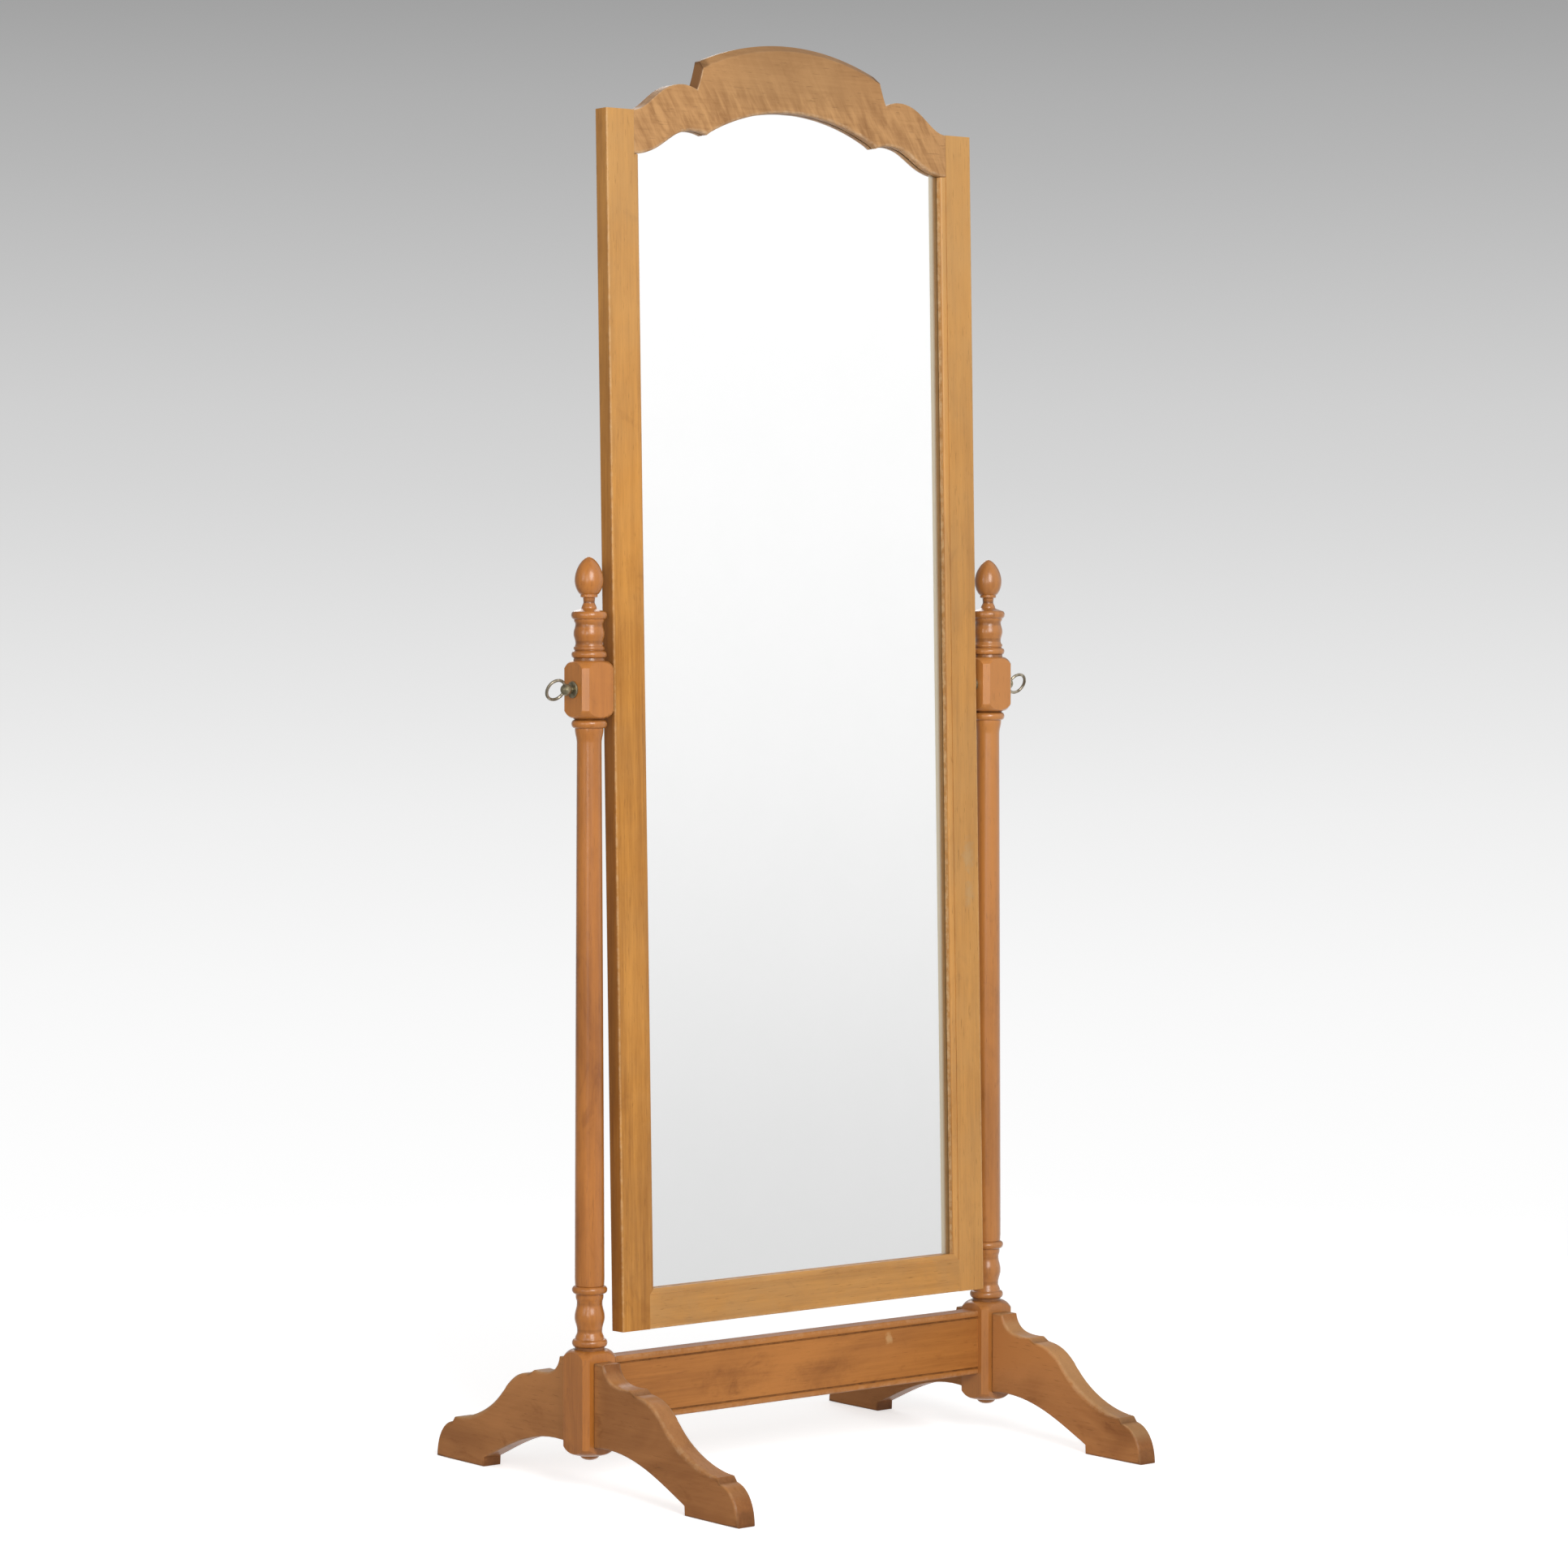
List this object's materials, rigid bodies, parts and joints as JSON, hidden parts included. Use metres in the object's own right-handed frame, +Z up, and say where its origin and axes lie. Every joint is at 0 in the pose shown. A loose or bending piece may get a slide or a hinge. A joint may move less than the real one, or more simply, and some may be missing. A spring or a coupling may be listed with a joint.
{
  "type": "cheval mirror",
  "caption": "Full-length wooden cheval mirror: a tall framed glass with a shaped crest tilts on thumbscrews between turned posts on scrolled legs.",
  "frame": {"origin": "on the floor midway between the two posts, in the plane of their axes", "axes": "+Z up, +X from the left post to the right post as seen from the front, +Y from the glass side towards the back"},
  "size_m": [0.7206, 0.568, 1.6491],
  "materials": {
    "post_wood": "satin lacquer, reddish honey",
    "leg_wood": "satin lacquer, worn arrises",
    "frame_wood": "satin lacquer, golden honey",
    "crest_wood": "satin lacquer, curly figure",
    "dowel_wood": "raw",
    "mirror_plate": "polished, silvered on the back",
    "backing": "raw pressed board",
    "panel_wood": "raw plywood",
    "old_brass": "antiqued, satin"
  },
  "bodies": {
    "stand": {"left_post": "post_wood", "right_post": "post_wood", "front_left_leg": "leg_wood", "rear_left_leg": "leg_wood", "front_right_leg": "leg_wood", "rear_right_leg": "leg_wood", "stretcher": "leg_wood", "leg_dowels": "dowel_wood", "stretcher_dowels": "dowel_wood"},
    "mirror_frame": {"left_stile": "frame_wood", "right_stile": "frame_wood", "crest_rail": "crest_wood", "bottom_rail": "crest_wood", "frame_dowels": "dowel_wood", "mirror_glass": "mirror_plate", "backing_sheet": "backing", "back_panel": "panel_wood", "panel_screws": "old_brass", "left_insert": "old_brass", "right_insert": "old_brass", "left_spacer": "old_brass", "right_spacer": "old_brass"},
    "left_rose_plate": {"left_rose": "old_brass"},
    "left_screw": {"left_thumbscrew": "old_brass", "left_ring": "old_brass"},
    "right_rose_plate": {"right_rose": "old_brass"},
    "right_screw": {"right_thumbscrew": "old_brass", "right_ring": "old_brass"}
  },
  "joints": [
    {"name": "mirror_tilt", "type": "hinge", "parent": "stand", "child": "mirror_frame", "pos_m": [0, 0, 0.906], "axis": [-1, 0, 0], "continuous": true},
    {"name": "left_rose_slide", "type": "slide", "parent": "mirror_frame", "child": "left_rose_plate", "axis": [-1, 0, 0], "range_m": [0, 0.0025]},
    {"name": "left_screw_turn", "type": "hinge", "parent": "left_rose_plate", "child": "left_screw", "pos_m": [-0.33, 0, 0.906], "axis": [-1, 0, 0], "range_deg": [0, 720]},
    {"name": "right_rose_slide", "type": "slide", "parent": "mirror_frame", "child": "right_rose_plate", "axis": [1, 0, 0], "range_m": [0, 0.0025]},
    {"name": "right_screw_turn", "type": "hinge", "parent": "right_rose_plate", "child": "right_screw", "pos_m": [0.33, 0, 0.906], "axis": [1, 0, 0], "range_deg": [0, 720]}
  ],
  "couplings": [
    {"joint": "left_screw_turn", "follows": "left_rose_slide", "rad_per_m": 5026.5},
    {"joint": "right_screw_turn", "follows": "right_rose_slide", "rad_per_m": 5026.5}
  ]
}
